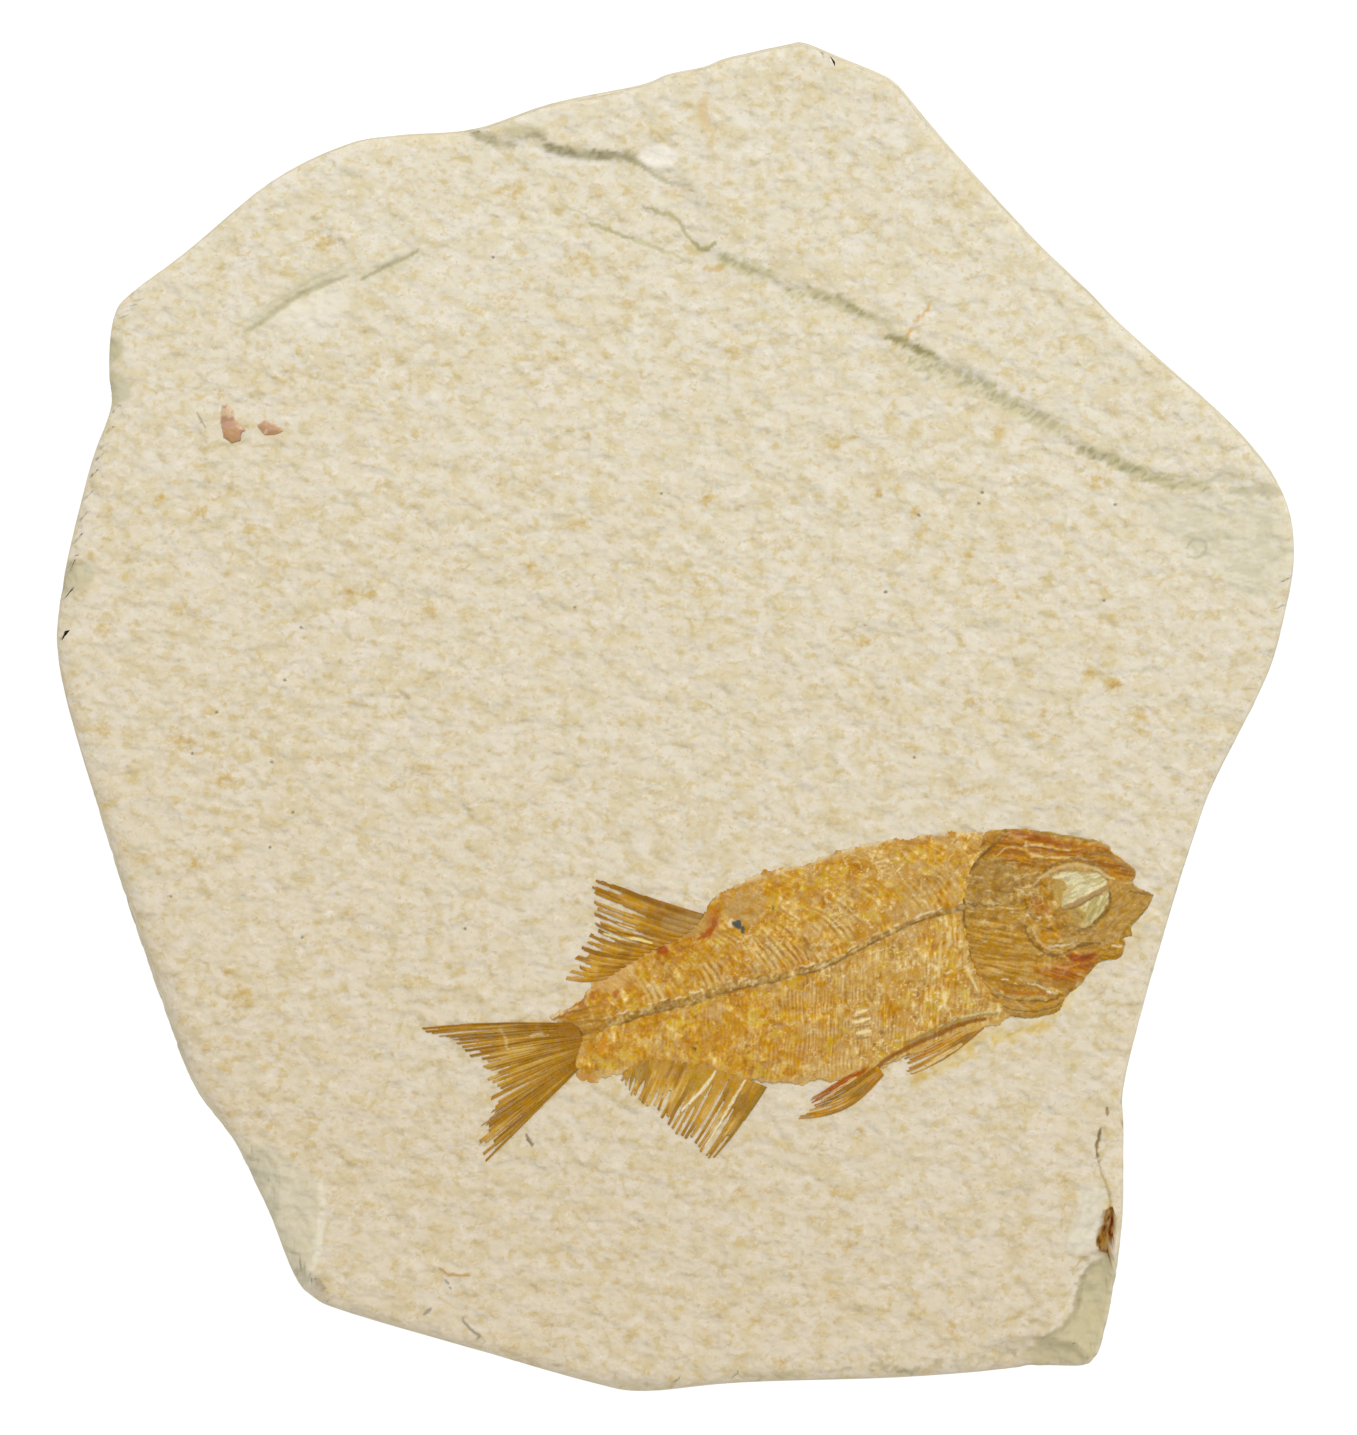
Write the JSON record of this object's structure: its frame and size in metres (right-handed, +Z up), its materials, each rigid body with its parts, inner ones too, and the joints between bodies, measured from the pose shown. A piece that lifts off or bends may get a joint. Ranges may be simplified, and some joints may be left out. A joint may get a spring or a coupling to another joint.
{
  "type": "fossil fish slab",
  "caption": "Split limestone slab with broken edges, a flattened fossil fish let into its face and two small bone chips, lying on its flat back.",
  "frame": {"origin": "under the middle of the slab, on the flat back face that it lies on", "axes": "+Z up out of the face with the fish, +X towards the fish's head side, +Y towards the fish's back and along the slab's longest side"},
  "size_m": [0.1672, 0.1827, 0.011],
  "materials": {
    "limestone": "matte, finely woolly split face, pale cream with orange-tan specks",
    "bone_film": "satin golden-brown mineralised bone, finely ribbed",
    "pink_bone": "satin pinkish-brown mineralised bone"
  },
  "bodies": {
    "root": {"slab": "limestone", "fish": "bone_film", "bone_chip_left": "pink_bone", "bone_chip_right": "pink_bone"}
  },
  "joints": []
}
